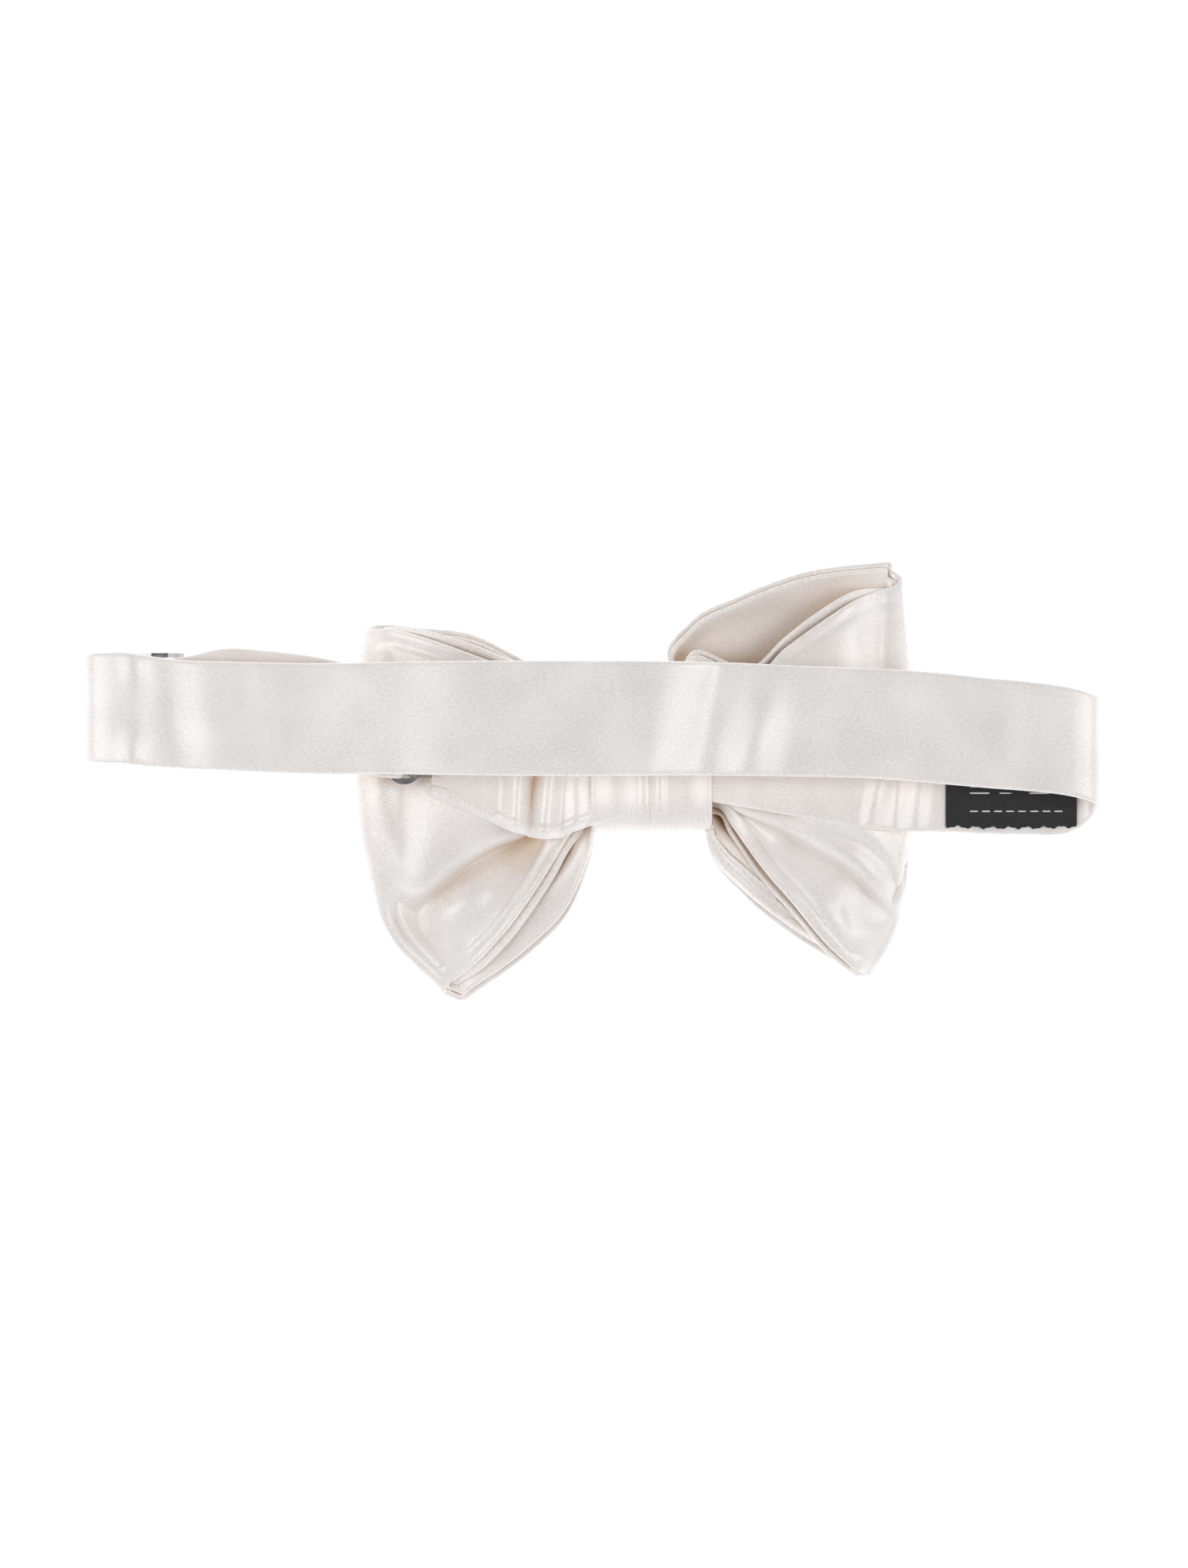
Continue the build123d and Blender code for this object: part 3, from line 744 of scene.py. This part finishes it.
def hook_strap():
    """From the slide to the hook and half round its bar, narrow enough for the slide to travel past."""
    turn = return_ply - low_ply
    stations = [
        (-93.0, low_ply, 6.1, 25.6), (-86, low_ply, 6.1, 25.6), (-76, low_ply, 6.1, 25.6), (-67, low_ply, 5.9, 25.8),
        (-58, low_ply, 3.8, 25.9), (-50, low_ply, 2.4, 24.2), (hook_bar_x, low_ply, 1.6, 23.4),
    ]
    for angle in (-60, -30, 0, 30, 60):
        stations.append((
            hook_bar_x + turn / 2 * math.cos(math.radians(angle)),
            low_ply + turn / 2 + turn / 2 * math.sin(math.radians(angle)), 1.5, 23.2,
        ))
    stations.append((hook_bar_x, low_ply + turn, 1.6, 23.2))
    stations.append((hook_bar_x - 2.0, low_ply + turn, 1.7, 23.2))
    return stations


def return_strap():
    """The doubled-back ply, from the hook to the hem on the slide."""
    z = return_ply
    return [
        (hook_bar_x - 2.0, z, 1.7, 23.2), (-50, z, 2.4, 24.0), (-58, z, 4.2, 25.9), (-70, z, 5.9, 27.5),
        (-80, z, 6.4, 27.9), (-86.5, z, 6.2, 26.4), (slide_x + 1.9, z, 6.1, 25.7),
    ]


# creases of (x, lean, width, height, low y, high y)
top_creases = [
    (34.6, 0.2, 4.9, -2.4, -5, 21), (53.0, 0.0, 5.0, 0.4, -2, 22),
    (72.0, 0.05, 6.0, 0.6, -6, 24), (88.0, 0.05, 4.6, -0.3, -6, 26),
    (-8.0, 0.1, 7.0, 0.5, -2, 28), (-98.6, 0.1, 2.4, -0.9, 1.0, 12), (-98.2, -0.1, 2.4, -0.9, 20.0, 29.5),
    (-90.5, -0.1, 6.0, 1.7, -2, 32), (-75.0, -0.1, 6.0, 0.6, 0, 29),
    (-60.0, 0.1, 7.0, 0.8, 0, 28), (-34.0, 0.1, 6.0, -0.4, 0, 28),
]
low_creases = [
    (61.0, 0.2, 1.8, 1.1, -14, 8), (65.4, 0.1, 1.8, -0.8, -14, 8), (70.0, 0.1, 1.8, 1.1, -14, 8),
    (36.0, 0.3, 4.0, 0.6, -10, 8), (47.0, 0.3, 3.5, -0.4, -12, 8),
]


def folded_strap(stations, rows):
    """The strap's middle surface from knot to slide, creased apart on its top and low courses."""
    points = surface(strap_rows(stations), rows, strap_cols)
    on_top = points[..., 2:] > fold_z
    x, y = points[..., 0], points[..., 1]
    shear = 0.22  # the top leans over the knot, and its creases with it
    points[..., 0] += on_top[..., 0] * shear * (y - 13.5) * wave(x, 20, 9)
    return np.where(on_top, crinkled(points, top_creases, 0.12), crinkled(points, low_creases, 0.12))


strap_points = folded_strap(right_strap() + left_strap(), 520)
seam_x = -22.0  # where the strap's two meshes meet, well away from both folds
across_top = strap_points[:, 0, 2] > fold_z
seam = int(np.argmax(across_top & (strap_points[:, 0, 0] < seam_x)))
right_points, left_points = strap_points[: seam + 1], strap_points[seam:]
right_length = mean_length(right_points, 0)[-1]
right_piece = cloth("neck_strap_right_cloth", right_points, PLY, silk)
left_piece = cloth("neck_strap_left_cloth", left_points, PLY, silk, weave_start=right_length)
hook_points = crinkled(surface(strap_rows(hook_strap()), 150, strap_cols), [], 0.05)
hook_piece = cloth("neck_strap_hook_end_cloth", hook_points, PLY, silk)
return_points = crinkled(surface(strap_rows(return_strap()), 90, strap_cols), [], 0.05)
return_piece = cloth("neck_strap_return_cloth", return_points, PLY, silk)

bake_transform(right_piece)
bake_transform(left_piece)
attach(hook_piece, "hook_strap")
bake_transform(return_piece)
for piece, hidden in (
    (right_piece, ("neck_strap_right", "strap_interlining_right", "neck_strap_middle", "strap_interlining_middle")),
    (left_piece, ("neck_strap_middle", "neck_strap_left", "strap_interlining_left")),
    (hook_piece, ("neck_strap_left",)),
    (return_piece, ("neck_strap_return", "strap_interlining_return")),
):
    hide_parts(*hidden)


# ---- eye strap ----
def eye_strap():
    """Tapered, puckered at its stitched end, and buckled where it meets the knot."""
    z = low_ply
    stations = [
        (-34.6, z, -2.6, 17.2), (-31.5, z, -3.8, 17.3), (-26, z, -6.2, 17.2), (-20, z, -8.8, 17.0),
        (-15.5, z + 0.5, -10.6, 16.8), (-11.5, z - 0.2, -11.5, 16.6), (-7.5, z - 0.4, -11.4, 16.4),
        (-3.5, z - 0.2, -9.8, 16.2), (0.5, z - 0.1, -8.4, 16.0), (5, z - 0.2, -7.6, 15.8), (11, z - 0.2, -7.6, 15.8),
    ]
    points = surface(strap_rows(stations), 150, 70)
    x, y = points[..., 0], points[..., 1]
    fold = -0.16 * (y - 2)  # the buckles lean
    buckle = 2.9 * wave(x, -16.0 - 0.3 * fold, 2.0) + 2.7 * wave(x, -9.2 - fold * 0.6, 2.0)
    buckle -= 1.6 * wave(x, -12.6 - fold, 1.6) * (0.35 + 0.65 * np.clip((y + 10) / 9, 0, 1))
    buckle += 0.8 * wave(x, -3.6, 1.8)
    lower_edge = y.min(axis=1, keepdims=True)
    droop = 0.5 * wave(y, lower_edge + 1.3, 0.7) - 0.9 * wave(y, lower_edge, 0.8)
    pucker = 0.28 * np.sin(y * 2.6 + x * 0.7) * wave(x, -33.6, 2.4)
    pucker += 0.25 * np.sin(y * 1.3 + 1.1) * wave(x, -29, 4)
    inside = 1 / (1 + np.exp((x + 1.0) * 2))
    points[..., 2] += (buckle + droop) * inside + pucker + 0.14 * soft_noise(points, 9, 5)
    return points


eye_points = eye_strap()
eye_strap_piece = cloth("eye_strap_cloth", eye_points, PLY, silk)
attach(eye_strap_piece, "bow")
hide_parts("eye_strap", "eye_strap_interlining")


# ---- rolled hem on the slide's bar ----
def hem():
    """The strap's end rolled round the bar, a little uneven."""
    hem_low, hem_high = node_box("strap_end_hem")
    centre_z = (hem_low[2] + hem_high[2]) / 2
    turn = np.linspace(0, 2 * math.pi, 40, endpoint=False)[:, None]
    inset = KNOT_PLY / 2
    y = np.linspace(hem_low[1] + inset, hem_high[1] - inset, 40)[None, :]
    bar_radius = 1.5
    radius = bar_radius + 0.06 * np.sin(y * 1.9 + turn)
    x = slide_x + radius * np.cos(turn)
    z = centre_z + radius * np.sin(turn)
    return np.stack([x, y + 0 * x, z], axis=-1)


hem_piece = cloth("strap_end_hem_cloth", hem(), KNOT_PLY, silk, ring=True)
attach(hem_piece, "adjuster")
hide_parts("strap_end_hem")


# ---- threads ----
def thread_mesh(name, runs, radius, material):
    """Stitches as short round threads that dive in at both ends; each run is (start, end, rise)."""
    points, faces, uvs = [], [], []
    upward = np.array([0, 0, 1.0])
    sides, steps = 8, 9
    for start, end, rise in runs:
        start, end = np.array(start, float), np.array(end, float)
        along = unit(end - start)
        flank = unit(np.cross(along, upward))
        base = len(points)
        for i in range(steps):
            share = i / (steps - 1)
            centre = start + (end - start) * share
            centre[2] += rise * math.sin(math.pi * share) - radius * 0.6
            for k in range(sides):
                angle = 2 * math.pi * k / sides
                points.append(centre + radius * (math.cos(angle) * flank + math.sin(angle) * upward))
                uvs.append((share, k / sides))
        for i in range(steps - 1):
            for k in range(sides):
                a, b = base + i * sides + k, base + i * sides + (k + 1) % sides
                faces.append([a, a + sides, b + sides, b])
        faces.append([base + k for k in range(sides)])
        faces.append([base + (steps - 1) * sides + k for k in reversed(range(sides))])
    return mesh_object(name, np.array(points), faces, uvs, material)


def height_on(points, x, y):
    """Height of a surface at a place, from its nearest point."""
    flat = points.reshape(-1, 3)
    k = np.argmin((flat[:, 0] - x) ** 2 + (flat[:, 1] - y) ** 2)
    return flat[k, 2]


end_x = eye_points[..., 0].min()
runs = []
for k in range(8):
    y = -1.4 + 2.3 * k
    z = height_on(eye_points, end_x + 1.2, y) + PLY / 2
    runs.append(((end_x - 0.3, y - 0.3, z - 0.5), (end_x + 2.3, y + 0.3, z), 0.28))
eye_stitches = thread_mesh("eye_strap_hand_stitches", runs, 0.16, ivory_thread)
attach(eye_stitches, "bow")
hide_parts("eye_strap_stitches")

knot_seam_x = 15.2
runs = []
for k in range(8):
    y = -8.6 + 3.9 * k
    z = height_on(knot_points, knot_seam_x, y) + KNOT_PLY / 2
    runs.append(((knot_seam_x - 0.6, y, z + 0.1), (knot_seam_x + 0.5, y + 1.7, z - 0.05), 0.22))
knot_stitches = thread_mesh("knot_seam_hand_stitches", runs, 0.14, ivory_thread)
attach(knot_stitches, "bow")
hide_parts("knot_seam_stitches")


# ---- care label ----
def label():
    """Black woven ribbon lying on the inside of the strap, its edges slightly uneven."""
    xs = np.linspace(label_low[0], label_high[0] + 1.2, 60)
    lift = 0.28  # half the label, and a little air
    rows = []
    for x in xs:
        share = np.linspace(0, 1, 24)
        low = -9.7 + 0.25 * math.sin(x * 1.7) + 0.16 * math.sin(x * 4.1) + 0.00144 * (x - 90) ** 2
        y = low + (label_high[1] - low) * share
        z = low_ply + PLY / 2 + lift + 0.1 * np.sin(x * 0.5 + y * 0.3)
        past = max(0.0, x - fold_x)
        z = z + (fold_radius - math.sqrt(fold_radius**2 - past**2))
        rows.append(np.stack([x + 0 * share, y, z], axis=-1))
    return np.array(rows)


label_points = label()
label_piece = cloth("care_label_cloth", label_points, LABEL_PLY, label_cloth)
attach(label_piece, "bow")
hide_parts("care_label")

runs = []
for k in range(9):
    y = -8.4 + 1.9 * k
    for x in (label_low[0] + 0.8, label_high[0] - 0.2):
        z = height_on(label_points, x, y) + 0.2
        runs.append(((x, y - 0.6, z), (x + 0.1, y + 0.6, z), 0.12))
label_stitch_piece = thread_mesh("label_end_stitches", runs, 0.12, black_thread)
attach(label_stitch_piece, "bow")
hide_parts("label_stitches")

# plain dashes of (y, pitch, length), where the real label has its text
dash_rows = ((-6.3, 2.6, 1.7), (-2.4, 6.4, 4.2), (-1.0, 6.4, 4.2))
runs = []
for y, pitch, length in dash_rows:
    x = label_low[0] + 5.2
    while x + length < label_high[0] - 1.5:
        z = height_on(label_points, x, y) + 0.2
        runs.append(((x, y, z), (x + length, y, z), 0.05))
        x += pitch
label_marks = thread_mesh("label_woven_bars", runs, 0.16, pale_print)
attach(label_marks, "bow")

# ---- metal stays as the CAD has it, and gets its finish ----
for name in ("hook", "strap_eye", "adjuster_slide"):
    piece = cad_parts[name]
    piece.data.materials.clear()
    piece.data.materials.append(metal)

# ---- stage ----
floor_mesh = bpy.data.meshes.new("floor")
reach = 3.0  # metres
corners = [(-reach, -reach, 0), (reach, -reach, 0), (reach, reach, 0), (-reach, reach, 0)]
floor_mesh.from_pydata(corners, [], [(0, 1, 2, 3)])
floor = bpy.data.objects.new("floor", floor_mesh)
bpy.context.scene.collection.objects.link(floor)
floor_mesh.materials.append(new_material(
    "white_paper", Base_Color=(0.7, 0.7, 0.7, 1), Roughness=0.9,
    Emission_Color=(1, 1, 1, 1), Emission_Strength=0.85,
)[0])

# a pale tent with a dark patch overhead, so that flat satin stays mid-toned and slopes catch the softboxes
world = bpy.data.worlds.new("studio")
bpy.context.scene.world = world
world.use_nodes = True
sky_place = world.node_tree.nodes.new("ShaderNodeTexCoord")
toward_dark = world.node_tree.nodes.new("ShaderNodeVectorMath")
toward_dark.operation = "DOT_PRODUCT"
toward_dark.inputs[1].default_value = (0.0, 0.17, 0.985)
world.node_tree.links.new(sky_place.outputs["Generated"], toward_dark.inputs[0])
tent = ramp(world.node_tree, toward_dark.outputs["Value"], [(0.4, (1.0, 1.0, 1.0)), (0.85, (0.2, 0.2, 0.2))])
world.node_tree.links.new(tent.outputs["Color"], world.node_tree.nodes["Background"].inputs["Color"])
world.node_tree.nodes["Background"].inputs["Strength"].default_value = 0.76
bpy.context.scene.view_settings.view_transform = "Standard"


def softbox(name, place, size, power):
    """An area lamp aimed at the frame's origin."""
    light = bpy.data.lights.new(name, "AREA")
    light.shape = "RECTANGLE"
    light.size, light.size_y = size
    light.energy = power
    lamp = bpy.data.objects.new(name, light)
    lamp.location = place
    lamp.rotation_euler = Vector([-v for v in place]).to_track_quat("-Z", "Y").to_euler()
    bpy.context.scene.collection.objects.link(lamp)


softbox("left_softbox", (-0.56, 0.02, 0.65), (0.38, 0.64), 2.4)
softbox("right_softbox", (0.88, 0.05, 1.02), (0.6, 1.0), 5.8)

# ---- camera, straight above ----
camera_data = bpy.data.cameras.new("camera")
camera = bpy.data.objects.new("camera", camera_data)
bpy.context.scene.collection.objects.link(camera)
camera_height = 2.0
view_width = 0.255  # metres across the picture, at the height of the strap's folds
sensor = 36.0
camera_data.sensor_fit = "HORIZONTAL"
camera_data.sensor_width = sensor
camera_data.lens = sensor * (camera_height - fold_z * MM) / view_width
camera.location = (0.00026, -0.00043, camera_height)
camera.rotation_euler = (0, 0, 0)
bpy.context.scene.camera = camera
